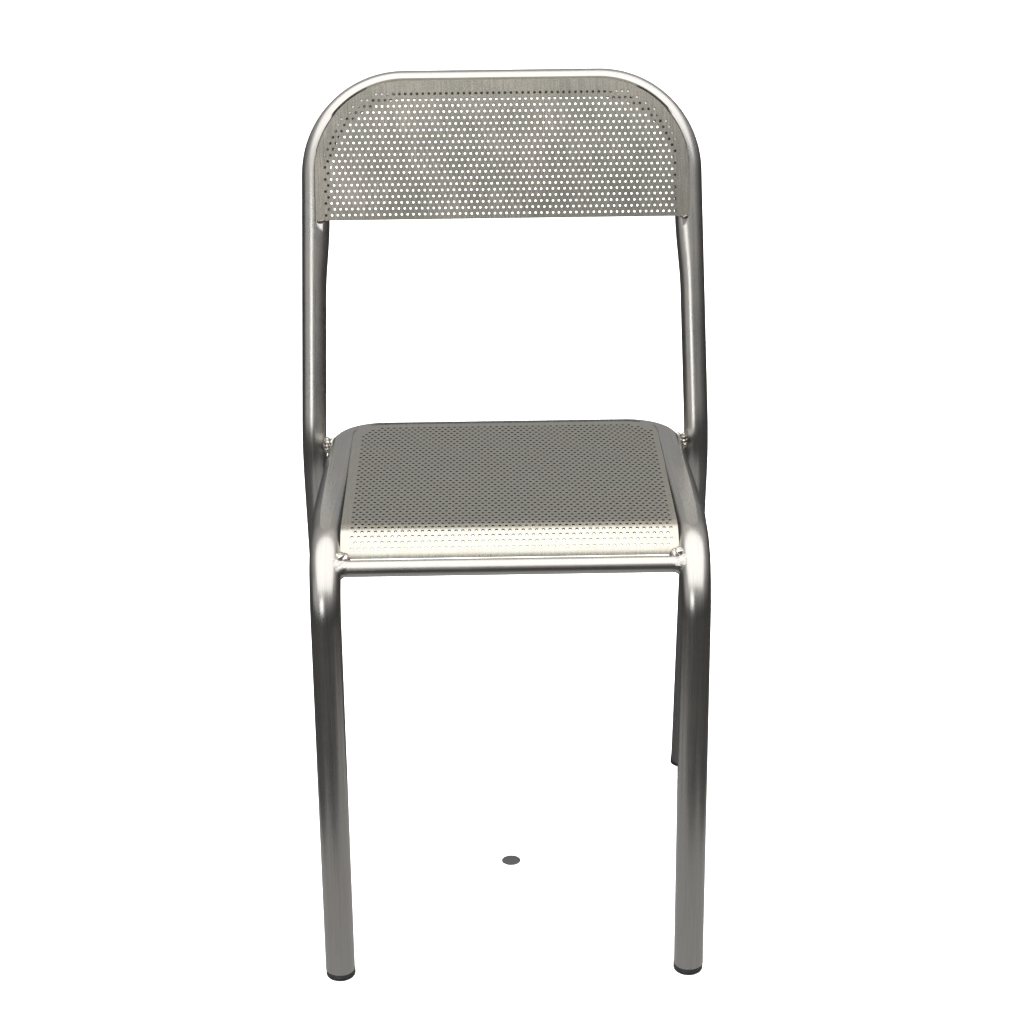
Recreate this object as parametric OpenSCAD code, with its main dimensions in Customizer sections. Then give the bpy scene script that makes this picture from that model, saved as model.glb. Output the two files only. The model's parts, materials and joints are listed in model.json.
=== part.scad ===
// Stacking chair in bent steel tube with perforated sheet seat and back.
// Two bent tubes carry everything: a seat frame that is also the front legs, and a back frame
// that is also the rear legs. A front rail, two spacers and weld beads tie them together.
// The origin is on the floor, at the middle of the chair's footprint. +Y points to the back.

/* [Seat] */
// Height of the seat's top face near its front
seat_h = 455; // [430:1:470]
// Fall of the seat's top face over its length
seat_drop = 8; // [4:1:14]
// Distance from the front legs' axis to the seat's rear edge
seat_len = 341; // [325:1:355]
// Width of the seat panel
seat_panel_w = 314; // [312:1:318]
// Radius of the seat panel's front bend
front_roll_r = 34; // [28:1:38]
// Angle that the seat panel's front bend turns through
front_roll_deg = 70; // [60:1:78]

/* [Back] */
// Height of the whole chair
total_h = 806; // [780:1:820]
// Distance between the back tube's axes at the top
bow_w = 376; // [368:1:380]
// Radius of the back tube's top corners, on its axis
bow_r = 92; // [84:1:98]
// Height of the back panel along its slope
back_panel_h = 138; // [120:1:150]
// Setback of the back's top from the seat joint
back_setback = 89; // [70:1:105]

/* [Tubes] */
// Outer diameter of the seat frame and front legs
leg_od = 28; // [26:0.5:29]
// Outer diameter of the back frame and rear legs
back_od = 25; // [24:0.5:26]
// Wall thickness of both frame tubes
wall = 1.5; // [1.2:0.1:1.8]
// Outer diameter of the front rail
rail_od = 16; // [14:0.5:18]
// Diameter of the solid spacers between seat frame and back frame
spacer_d = 12; // [10:0.5:14]
// Thickness of the perforated sheet
sheet = 1.5; // [1.2:0.1:1.8]

/* [Legs] */
// Distance between the front feet's axes
front_foot_w = 342; // [338:1:350]
// Distance between the rear feet's axes
rear_foot_w = 399; // [396:1:406]
// Setback of the rear feet from the seat joint
rear_foot_run = 104; // [90:1:115]

/* [Feet] */
// Height of each glide's head below the tube's end
glide_h = 7; // [6:0.5:9]
// Depth of each glide's plug inside the tube
plug_len = 22; // [16:1:28]

/* [Hidden] */
$fn = 72;

steel = "#a39d92";
weld_steel = "#b9b4a8";
black_plastic = "#1c1c1c";

leg_r = leg_od / 2;
back_r = back_od / 2;
slack = 0.2;          // edge clearance of a panel in its recess
lap = 1;              // how far a tube's straight stretches run on into its bends
proud = 0.1;          // how much larger in radius the straight stretches are than the bends
big = 400;            // reach of a cutting block

// Front to back places, measured from the middle of the footprint
front_y = -198.3;
front_foot_y = front_y - 6.5;
joint_y = front_y + 301;
joint_z = 435;
rear_foot_y = joint_y + rear_foot_run;
seat_rear_y = front_y + seat_len;
bow_y = joint_y + back_setback;
bow_z = total_h - back_r;

// Seat frame: front bend, side rails that toe in, rear corners
leg_top_x = 170.3;
side_rear_x = 165;
leg_bend_r = 60;
seat_corner_r = 40;
press_front = 0.9;    // depth of the flat pressed on the tube's crown, at the front legs' axis
press_rear = 3;       // the same at the seat's rear
flat_half = sqrt(leg_r * leg_r - (leg_r - press_rear) * (leg_r - press_rear));
seat_tilt = atan(seat_drop / seat_len);
rear_axis_y = seat_rear_y - flat_half;
roll_start = 61;      // where the seat panel's front bend starts, behind the front legs' axis

function seat_z(y) = seat_h - (y - front_y) * tan(seat_tilt);
function press_d(y) = press_front + (press_rear - press_front) * (y - front_y) / (rear_axis_y - front_y);
function axis_z(y) = seat_z(y) - leg_r + press_d(y);

seat_path = [
    [-front_foot_w / 2, front_foot_y, glide_h],
    [-leg_top_x, front_y, axis_z(front_y)],
    [-side_rear_x, rear_axis_y, axis_z(rear_axis_y)],
    [side_rear_x, rear_axis_y, axis_z(rear_axis_y)],
    [leg_top_x, front_y, axis_z(front_y)],
    [front_foot_w / 2, front_foot_y, glide_h]
];
seat_bends = [0, leg_bend_r, seat_corner_r, seat_corner_r, leg_bend_r, 0];

// Back frame: rear legs, a slight bend at the seat joint, uprights and top bow
joint_x = 197.5;
joint_bend_r = 140;
rear_splay = atan(rear_foot_run / joint_z);
back_path = [
    [-rear_foot_w / 2, rear_foot_y - glide_h * tan(rear_splay), glide_h],
    [-joint_x, joint_y, joint_z],
    [-bow_w / 2, bow_y, bow_z],
    [bow_w / 2, bow_y, bow_z],
    [joint_x, joint_y, joint_z],
    [rear_foot_w / 2, rear_foot_y - glide_h * tan(rear_splay), glide_h]
];
back_bends = [0, joint_bend_r, bow_r, bow_r, joint_bend_r, 0];

// Back panel: it lies in a recess in the front of the bow, nearly on the tube's crown line
back_lean = atan((bow_y - joint_y) / (bow_z - joint_z));
back_len = norm([bow_y - joint_y, bow_z - joint_z]);
back_face = 10.5;                                  // front of the panel, ahead of the axis
back_panel_top = back_len + 2;                     // along the slope from the joint
back_panel_w = bow_w + 2;

// Front rail: its axis lies on the middle of the front legs' bend
rail_turn = 48;
rail_y = front_y + leg_bend_r * (1 - cos(rail_turn));
rail_z = axis_z(front_y) - leg_bend_r * (1 - sin(rail_turn));

spacer_y = joint_y + joint_bend_r * (1 / cos((rear_splay + back_lean) / 2) - 1);
spacer_z = axis_z(spacer_y);

function unit(v) = v / norm(v);
function ahead(p, i) = unit(p[i + 1] - p[i]);
function turn(p, i) = acos(ahead(p, i - 1) * ahead(p, i));
function trim(p, b, i) = (i == 0 || i == len(p) - 1) ? 0 : b[i] * tan(turn(p, i) / 2);

// Places the children with their x, y and z axes along the unit vectors u, v and w, at o
module frame_at(o, u, v, w)
    multmatrix([[u.x, v.x, w.x, o.x], [u.y, v.y, w.y, o.y], [u.z, v.z, w.z, o.z]])
        children();

// Round bar along the straight stretch that starts at point i
module straight(p, b, i, r) {
    w = ahead(p, i);
    u = unit(cross(w, abs(w.x) < 0.9 ? [1, 0, 0] : [0, 1, 0]));
    start = trim(p, b, i) - (i == 0 ? 0 : lap);
    end = norm(p[i + 1] - p[i]) - trim(p, b, i + 1) + (i == len(p) - 2 ? 0 : lap);
    frame_at(p[i] + w * start, u, cross(w, u), w) cylinder(h = end - start, r = r + proud);
}

// Round bar round the bend at point i: a part of a torus about the bend's own axis
module elbow(p, b, i, r) {
    into = ahead(p, i - 1);
    out = ahead(p, i);
    w = unit(cross(into, out));
    u = cross(into, w);
    frame_at(p[i] - into * trim(p, b, i) - u * b[i], u, into, w)
        rotate_extrude(angle = turn(p, i)) translate([b[i], 0]) circle(r = r);
}

// Round bar of radius r along the whole path p with bend radii b
module bent_bar(p, b, r) {
    for (i = [0 : len(p) - 2]) straight(p, b, i, r);
    for (i = [1 : len(p) - 2]) elbow(p, b, i, r);
}

// Turns the children, drawn flat in the seat's top plane, onto the seat's slope
module on_seat() translate([0, front_y, seat_h]) rotate([-seat_tilt, 0, 0]) children();

// Turns the children onto the back's slope: y runs up the slope and z points forward
module on_back() translate([0, joint_y, joint_z]) rotate([90 - back_lean, 0, 0]) children();

// Outline of the seat panel behind its front bend, grown by g
module seat_outline(g = 0) {
    half = seat_panel_w / 2 + g;
    corner = 36 + g;
    rear = seat_len + g;
    union() {
        translate([-half, roll_start - g]) square([2 * half, rear - corner - roll_start + g]);
        translate([-half + corner, roll_start]) square([2 * (half - corner), rear - roll_start]);
        for (s = [-1, 1]) translate([s * (half - corner), rear - corner]) circle(r = corner);
    }
}

// Outline of the back panel, grown by g: straight bottom, round top corners
module back_outline(g = 0) {
    half = back_panel_w / 2 + g;
    corner = bow_r + g;
    top = back_panel_top + g;
    height = back_panel_h + 2 * g;
    intersection() {
        translate([-half, top - height]) square([2 * half, height]);
        union() {
            translate([-half, top - corner - height]) square([2 * half, height]);
            translate([-half + corner, top - height]) square([2 * (half - corner), height]);
            for (s = [-1, 1]) translate([s * (half - corner), top - corner]) circle(r = corner);
        }
    }
}

// Room above the seat's pressed flat and in the recess for the seat panel and its front bend,
// sunk by d
module seat_press(d = 0) {
    half = seat_panel_w / 2 + slack + d;
    on_seat() {
        translate([-big, 0, -d]) cube([2 * big, big, big]);
        translate([0, 0, -sheet - d]) linear_extrude(big) seat_outline(slack + d);
        translate([-half, roll_start, -front_roll_r]) rotate([0, 90, 0])
            cylinder(h = 2 * half, r = front_roll_r + slack + d);
    }
}

// Room in front of the back panel's recess, sunk by d
module back_press(d = 0) {
    on_back() translate([0, 0, back_face - sheet - d]) linear_extrude(big) back_outline(slack + d);
}

module seat_frame() {
    color(steel) difference() {
        difference() {
            bent_bar(seat_path, seat_bends, leg_r);
            seat_press();
        }
        difference() {
            bent_bar(seat_path, seat_bends, leg_r - wall);
            seat_press(wall);
        }
    }
}

module back_frame() {
    color(steel) difference() {
        difference() {
            bent_bar(back_path, back_bends, back_r);
            back_press();
        }
        difference() {
            bent_bar(back_path, back_bends, back_r - wall);
            back_press(wall);
        }
    }
}

module rail_bar(r)
    translate([-leg_top_x, rail_y, rail_z]) rotate([0, 90, 0]) cylinder(h = 2 * leg_top_x, r = r);

module front_rail() {
    color(steel) difference() {
        rail_bar(rail_od / 2);
        rail_bar(rail_od / 2 - wall);
        bent_bar(seat_path, seat_bends, leg_r);
    }
}

// Flat sheet on the seat's slope, rolled down at the front through a part of a turn
module seat_panel() {
    color(steel) on_seat() translate([0, 0, -sheet]) union() {
        linear_extrude(sheet) seat_outline();
        translate([-seat_panel_w / 2, roll_start, sheet - front_roll_r])
            rotate([90, 0, 90]) linear_extrude(seat_panel_w) rotate(90)
                intersection() {
                    difference() {
                        circle(r = front_roll_r);
                        circle(r = front_roll_r - sheet);
                    }
                    polygon([[0, 0], [2 * front_roll_r, 0],
                             [2 * front_roll_r, 2 * front_roll_r * tan(front_roll_deg / 2)],
                             2 * front_roll_r * [cos(front_roll_deg), sin(front_roll_deg)]]);
                }
    }
}

module back_panel() {
    color(steel) on_back() translate([0, 0, back_face - sheet]) linear_extrude(sheet) back_outline();
}

module spacer_bar(r) translate([side_rear_x, spacer_y, spacer_z])
    rotate([0, 90, 0]) cylinder(h = joint_x - side_rear_x, r = r);

// Short solid bar between the seat frame's side and the upright beside it
module spacer_right() {
    color(steel) difference() {
        spacer_bar(spacer_d / 2);
        bent_bar(seat_path, seat_bends, leg_r);
        bent_bar(back_path, back_bends, back_r);
    }
}

module spacer_left() mirror([1, 0, 0]) spacer_right();

// Plug with a domed head, drawn with its shoulder at z = 0 and its head below
module glide(od, drop) {
    r = od / 2 + 0.5;
    nose = 3;
    bore = od / 2 - wall - 0.1;
    color(black_plastic) rotate_extrude() difference() {
        union() {
            square([bore, plug_len]);
            translate([0, -drop]) square([r - nose, drop]);
            translate([0, -drop + nose]) square([r, drop - nose]);
            translate([r - nose, -drop + nose]) circle(r = nose);
        }
        translate([-r, -drop]) square([r, drop + plug_len]);
        translate([0, 3]) square([bore - 2, plug_len]);
    }
}

// Right-hand glide on the foot where the path p ends, with its head carried on past the floor
// by the length drop and trimmed flat by the floor plane
module right_glide(p, od, drop) {
    last = len(p) - 1;
    axis = ahead(p, 0);
    difference() {
        translate(p[last])
            rotate([-atan2(axis.y, norm([axis.x, axis.z])), -atan2(axis.x, axis.z), 0])
                glide(od, glide_h + drop);
        color(black_plastic) translate([-big, -big, -big]) cube([2 * big, 2 * big, big]);
    }
}

module glide_front_right() right_glide(seat_path, leg_od, 1);
module glide_rear_right() right_glide(back_path, back_od, 3);
module glide_front_left() mirror([1, 0, 0]) glide_front_right();
module glide_rear_left() mirror([1, 0, 0]) glide_rear_right();

// Ball of weld over the rail's right end, behind the rail and ahead of the seat panel
module corner_ball()
    translate([leg_top_x - leg_r - 1, rail_y + 6, rail_z + 7]) sphere(r = 6.5);

// Fillet bead round the rail's end, shaped by the leg that it meets
module rail_weld_right() {
    color(weld_steel) difference() {
        translate([leg_top_x - leg_r + 3, rail_y, rail_z]) rotate([0, -90, 0])
            cylinder(h = 9, r1 = rail_od / 2 + 4.5, r2 = rail_od / 2 + 0.4);
        rail_bar(rail_od / 2);
        bent_bar(seat_path, seat_bends, leg_r);
        corner_ball();
    }
}

// Blob where the seat panel's front corner meets the leg's bend and the rail
module seat_corner_weld_right() {
    color(weld_steel) difference() {
        corner_ball();
        rail_bar(rail_od / 2);
        bent_bar(seat_path, seat_bends, leg_r);
        on_seat() translate([-seat_panel_w / 2, roll_start, -front_roll_r])
            rotate([0, 90, 0]) cylinder(h = seat_panel_w, r = front_roll_r);
    }
}

// Bead round each end of the spacer
module spacer_weld_right() {
    color(weld_steel) difference() {
        for (x = [side_rear_x + leg_r - 2, joint_x - back_r - 2])
            translate([x, spacer_y, spacer_z]) rotate([0, 90, 0])
                cylinder(h = 4, r = spacer_d / 2 + 2);
        spacer_bar(spacer_d / 2);
        bent_bar(seat_path, seat_bends, leg_r);
        bent_bar(back_path, back_bends, back_r);
    }
}

// Small bead under the back panel's bottom corner, against the upright
module back_corner_weld_right() {
    color(weld_steel) difference() {
        on_back() translate([back_panel_w / 2 - 4, back_panel_top - back_panel_h - 1.5,
                             back_face - sheet / 2])
            sphere(r = 4);
        bent_bar(back_path, back_bends, back_r);
        on_back() translate([0, 0, back_face - sheet]) linear_extrude(sheet) back_outline(0.01);
    }
}

module rail_weld_left() mirror([1, 0, 0]) rail_weld_right();
module seat_corner_weld_left() mirror([1, 0, 0]) seat_corner_weld_right();
module spacer_weld_left() mirror([1, 0, 0]) spacer_weld_right();
module back_corner_weld_left() mirror([1, 0, 0]) back_corner_weld_right();

seat_frame();
back_frame();
front_rail();
seat_panel();
back_panel();
spacer_left();
spacer_right();
glide_front_left();
glide_front_right();
glide_rear_left();
glide_rear_right();
rail_weld_left();
rail_weld_right();
spacer_weld_left();
spacer_weld_right();
seat_corner_weld_left();
seat_corner_weld_right();
back_corner_weld_left();
back_corner_weld_right();
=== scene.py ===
"""Looks of a stacking chair in bent steel tube with a perforated sheet seat and back.

The two tubes, the two sheets, the rail, the spacers, the weld beads and the glides are all worked
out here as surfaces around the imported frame. Lengths are in metres, +Z is up, +Y is the back.
"""

import json
import math

import bpy
import numpy as np
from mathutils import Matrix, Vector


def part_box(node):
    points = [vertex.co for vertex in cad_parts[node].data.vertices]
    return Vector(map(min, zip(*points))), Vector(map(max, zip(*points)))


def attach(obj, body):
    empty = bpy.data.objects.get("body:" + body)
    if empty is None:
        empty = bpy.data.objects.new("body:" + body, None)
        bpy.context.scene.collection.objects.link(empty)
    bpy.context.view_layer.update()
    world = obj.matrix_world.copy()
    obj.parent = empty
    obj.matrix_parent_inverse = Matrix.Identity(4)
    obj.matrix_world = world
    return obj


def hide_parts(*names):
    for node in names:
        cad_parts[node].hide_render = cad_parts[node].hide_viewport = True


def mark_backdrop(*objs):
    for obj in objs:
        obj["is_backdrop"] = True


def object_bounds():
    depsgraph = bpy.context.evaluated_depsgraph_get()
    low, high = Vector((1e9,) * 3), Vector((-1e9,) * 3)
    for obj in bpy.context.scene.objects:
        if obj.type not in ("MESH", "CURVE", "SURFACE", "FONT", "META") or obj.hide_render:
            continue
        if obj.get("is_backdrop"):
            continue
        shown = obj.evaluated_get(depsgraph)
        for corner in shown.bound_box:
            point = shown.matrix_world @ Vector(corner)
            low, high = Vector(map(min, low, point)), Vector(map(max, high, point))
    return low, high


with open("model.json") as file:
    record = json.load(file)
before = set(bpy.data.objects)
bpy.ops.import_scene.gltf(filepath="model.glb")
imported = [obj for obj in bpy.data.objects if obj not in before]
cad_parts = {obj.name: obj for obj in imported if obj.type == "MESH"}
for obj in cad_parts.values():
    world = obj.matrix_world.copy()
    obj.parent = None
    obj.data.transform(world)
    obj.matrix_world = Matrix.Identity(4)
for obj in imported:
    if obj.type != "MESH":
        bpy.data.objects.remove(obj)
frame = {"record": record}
cad_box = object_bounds()

# ---------------------------------------------------------------- sizes of the design

WALL = 0.0015                 # wall of both frame tubes
SHEET = 0.0015                # thickness of both sheets
SEAM = 0.0007                 # open seam between a sheet's edge and its recess

feet = {m["name"]: np.array(m["pos_m"]) for m in frame["record"]["mounts"]}
seat_box = [np.array(corner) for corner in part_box("seat_panel")]
rail_box = [np.array(corner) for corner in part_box("front_rail")]
spacer_box = [np.array(corner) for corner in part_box("spacer_right")]

TOTAL_H = cad_box[1][2]
LEG_R = 0.014                 # seat frame and front legs
BACK_R = 0.0125               # back frame and rear legs
TUBE_END = 0.007              # height of the tubes' ends above the floor

# Seat
SEAT_HALF = seat_box[1][0]
SEAT_LEN = 0.341
SEAT_DROP = 0.008
SEAT_CORNER = 0.036
ROLL_R = 0.034
ROLL_START = 0.061
ROLL_TURN = math.radians(70)
FRONT_Y = feet["foot_front_right"][1] + 0.0065
SEAT_H = 0.455
SEAT_TILT = math.atan(SEAT_DROP / SEAT_LEN)

# Seat frame
LEG_TOP_X = 0.1703
SIDE_REAR_X = 0.165
PRESS_FRONT = 0.0009
PRESS_REAR = 0.003
RAIL_TURN = 48                # where the rail meets the front bend, in degrees
REAR_AXIS_Y = FRONT_Y + SEAT_LEN - math.sqrt(LEG_R ** 2 - (LEG_R - PRESS_REAR) ** 2)

# Back frame and back panel
JOINT = np.array([0.1975, FRONT_Y + 0.301, 0.435])
BOW = np.array([0.188, JOINT[1] + 0.089, TOTAL_H - BACK_R])
BACK_LEN = math.hypot(BOW[1] - JOINT[1], BOW[2] - JOINT[2])
BACK_HALF = BOW[0] + 0.001
BACK_CORNER = 0.092
BACK_TOP = BACK_LEN + 0.002
BACK_H = 0.138
BACK_FACE = 0.0105            # front of the back panel, ahead of the tube's axis
BACK_SWELL = 0.28             # share by which the tube swells inwards under the panel
SWELL_RUN = 0.075             # length over which it does so

# Perforation
SEAT_HOLE = 0.00120            # radius of the holes
BACK_HOLE = 0.00115
SEAT_PITCH = 0.00625
SEAT_FIELD_CORNER = 0.022     # radius of the perforated field's rear corners
BACK_FIELD_CORNER = 0.0855
SEAT_ROW = 0.00613
SEAT_ROWS = 49
SEAT_HOLES = 48               # in every row, with each other row shifted by half a pitch
SEAT_SHIFT = 0.0020           # the field sits a little off the middle
SEAT_FIRST_ROW = 0.323        # rearmost row, behind the front legs' axis
BACK_PITCH = 0.00589
BACK_ROW = 0.0060
BACK_ROWS = 21
BACK_HOLES = 61               # and one fewer in each other row
BACK_SHIFT = -0.0018
BACK_FIRST_ROW = 0.3588       # top row, up the slope from the seat joint

tilt_cos, tilt_sin = math.cos(SEAT_TILT), math.sin(SEAT_TILT)
SEAT_ORIGIN = np.array([0.0, FRONT_Y, SEAT_H])
SEAT_ACROSS = np.array([1.0, 0.0, 0.0])
SEAT_BACK = np.array([0.0, tilt_cos, -tilt_sin])
SEAT_UP = np.array([0.0, tilt_sin, tilt_cos])

BACK_SLOPE = np.array([0.0, BOW[1] - JOINT[1], BOW[2] - JOINT[2]]) / BACK_LEN
BACK_FRONT = np.array([0.0, -BACK_SLOPE[2], BACK_SLOPE[1]])
BACK_ORIGIN = np.array([0.0, JOINT[1], JOINT[2]])


# ---------------------------------------------------------------- vectors and meshes

def unit(v):
    """v at length one; nothing stays nothing."""
    return v / np.maximum(np.linalg.norm(v, axis=-1, keepdims=True), 1e-9)


def smooth_step(low, high, value):
    """0 below low, 1 above high, and the cubic 3t^2 - 2t^3 between them."""
    t = np.clip((value - low) / (high - low), 0, 1)
    return t * t * (3 - 2 * t)


def add_mesh(name, vertices, quads, sharp=30):
    """A smooth shaded mesh object of quads, with edges sharp above an angle in degrees."""
    mesh = bpy.data.meshes.new(name)
    mesh.vertices.add(len(vertices))
    mesh.vertices.foreach_set("co", np.ascontiguousarray(vertices, np.float32).ravel())
    mesh.loops.add(quads.size)
    mesh.loops.foreach_set("vertex_index", quads.astype(np.int32).ravel())
    mesh.polygons.add(len(quads))
    mesh.polygons.foreach_set("loop_start", np.arange(0, quads.size, 4, dtype=np.int32))
    mesh.update(calc_edges=True)
    mesh.polygons.foreach_set("use_smooth", np.ones(len(quads), bool))
    mesh.set_sharp_from_angle(angle=math.radians(sharp))
    mesh.validate()
    piece = bpy.data.objects.new(name, mesh)
    bpy.context.scene.collection.objects.link(piece)
    return piece


def set_number(piece, name, values):
    """A number for each vertex, which a finish reads by name."""
    layer = piece.data.attributes.new(name, "FLOAT", "POINT")
    layer.data.foreach_set("value", np.ascontiguousarray(values, np.float32).ravel())


def grid_quads(rows, columns, wrap_columns=True, wrap_rows=False, first=0):
    """Quads of a grid whose vertices are numbered row by row; a wrapped side joins its ends."""
    r = np.arange(rows if wrap_rows else rows - 1)
    c = np.arange(columns if wrap_columns else columns - 1)
    r, c = [a.ravel() for a in np.meshgrid(r, c, indexing="ij")]
    r2, c2 = (r + 1) % rows, (c + 1) % columns
    return first + np.stack([r * columns + c, r2 * columns + c, r2 * columns + c2, r * columns + c2], 1)


# ---------------------------------------------------------------- bent tubes

def centre_line(points, bends, steps, bend_step=math.radians(2.5)):
    """Stations along a bent bar, as places and directions ahead.

    Between bends the place runs evenly along the line. Round a bend it is
    start + radius * (sin(turn) * ahead + (1 - cos(turn)) * inward).
    """
    points = np.asarray(points, float)
    directions = unit(np.diff(points, axis=0))
    places, aheads = [], []
    start = points[0]
    for i, ahead in enumerate(directions):
        last = i == len(directions) - 1
        turn = 0.0 if last else math.acos(float(ahead @ directions[i + 1]))
        stop = points[i + 1] - ahead * (0.0 if last else bends[i] * math.tan(turn / 2))
        count = max(2, math.ceil(np.linalg.norm(stop - start) / steps[i]))
        share = np.linspace(0, 1, count, endpoint=last)[:, None]
        places.append(start + (stop - start) * share)
        aheads.append(np.repeat(ahead[None], count, 0))
        if last:
            break
        inward = unit(directions[i + 1] - ahead * float(ahead @ directions[i + 1]))
        count = max(2, math.ceil(turn / bend_step))
        angle = np.linspace(0, turn, count, endpoint=False)[:, None]
        places.append(stop + bends[i] * (np.sin(angle) * ahead + (1 - np.cos(angle)) * inward))
        aheads.append(np.cos(angle) * ahead + np.sin(angle) * inward)
        start = stop + bends[i] * (math.sin(turn) * ahead + (1 - math.cos(turn)) * inward)
    return np.concatenate(places), np.concatenate(aheads)


def spread_angles(knots, counts, edge):
    """Angles round a bar for each station: even between two knots, and one close to each knot,
    so that an edge that follows the knots stays crisp."""
    ends = np.concatenate([knots[:, 1:], knots[:, :1] + 2 * np.pi], axis=1)
    columns = []
    for k, count in enumerate(counts):
        start, stop = knots[:, k:k + 1], ends[:, k:k + 1]
        near = np.minimum(edge / (stop - start), 0.3)
        share = near + (1 - 2 * near) * np.linspace(0, 1, count)[None]
        columns.append(start)
        columns.append(start + (stop - start) * share)
    return np.concatenate(columns, axis=1)


def tube(name, places, across, facing, angles, radii):
    """A hollow tube with closed ends. Each outer vertex is
    place + radius * (cos(angle) * across + sin(angle) * facing); the inner ones are a wall inside."""
    stations, columns = angles.shape
    direction = (np.cos(angles)[..., None] * across[:, None] + np.sin(angles)[..., None] * facing[:, None])
    outer = places[:, None] + radii[..., None] * direction
    inner = places[:, None] + (radii - WALL)[..., None] * direction
    vertices = np.concatenate([outer.reshape(-1, 3), inner.reshape(-1, 3)])
    skin = grid_quads(stations, columns)
    bore = skin[:, ::-1] + stations * columns
    c = np.arange(columns)
    c2 = (c + 1) % columns
    bore_first = stations * columns
    near_end = np.stack([c, c2, bore_first + c2, bore_first + c], 1)
    top = (stations - 1) * columns
    far_end = np.stack([top + c, bore_first + top + c, bore_first + top + c2, top + c2], 1)
    piece = add_mesh(name, vertices, np.concatenate([skin, bore, near_end, far_end]), sharp=50)
    along = np.concatenate([[0], np.cumsum(np.linalg.norm(np.diff(places, axis=0), axis=1))])
    set_number(piece, "along", np.tile(np.repeat(along[:, None], columns, 1).ravel(), 2))
    turn = np.stack([np.cos(angles), np.sin(angles)], -1).reshape(-1, 2)
    set_number(piece, "turn_x", np.tile(turn[:, 0], 2))
    set_number(piece, "turn_y", np.tile(turn[:, 1], 2))
    return piece, vertices


def set_heat(piece, vertices, spots, reach):
    """How much a vertex was heated by welding: exp(-(distance / reach)^2) from the nearest weld."""
    heat = np.zeros(len(vertices))
    for spot in spots:
        gap = np.linalg.norm(vertices - np.asarray(spot), axis=1)
        heat = np.maximum(heat, np.exp(-(gap / reach) ** 2))
    set_number(piece, "heat", heat)


def wall_reach(u, v, du, dv, half, rear, corner):
    """How far an outline's edge lies from the points (u, v) along (du, dv): the signed distance to
    the rounded outline is walked towards until it is nothing."""
    reach = np.zeros_like(u)
    for _ in range(12):
        x, y = np.abs(u + du * reach), v + dv * reach
        past_x, past_y = x - (half - corner), y - (rear - corner)
        round_gap = np.hypot(np.maximum(past_x, 0), np.maximum(past_y, 0)) - corner
        gap = np.where((past_x > 0) & (past_y > 0), round_gap, np.maximum(past_x, past_y) - corner)
        reach = reach + gap
    return reach


def bounded(top, bottom, empty):
    """top / bottom where bottom is clearly above nothing, and otherwise a value far away."""
    return np.where(bottom > 1e-4, top / np.maximum(bottom, 1e-4), empty)


FAR = 9.0                     # stands for no limit to a radius
# Share by which the pressed seat tube bulges outwards, at runs behind the front legs' axis
SPREAD_RUN = [-0.01, 0.02, 0.06, 0.10, 0.16, 0.205, 0.25, 0.30, 0.335]
SPREAD = [0.0, 0.12, 0.22, 0.36, 0.32, 0.26, 0.19, 0.09, 0.0]


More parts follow.
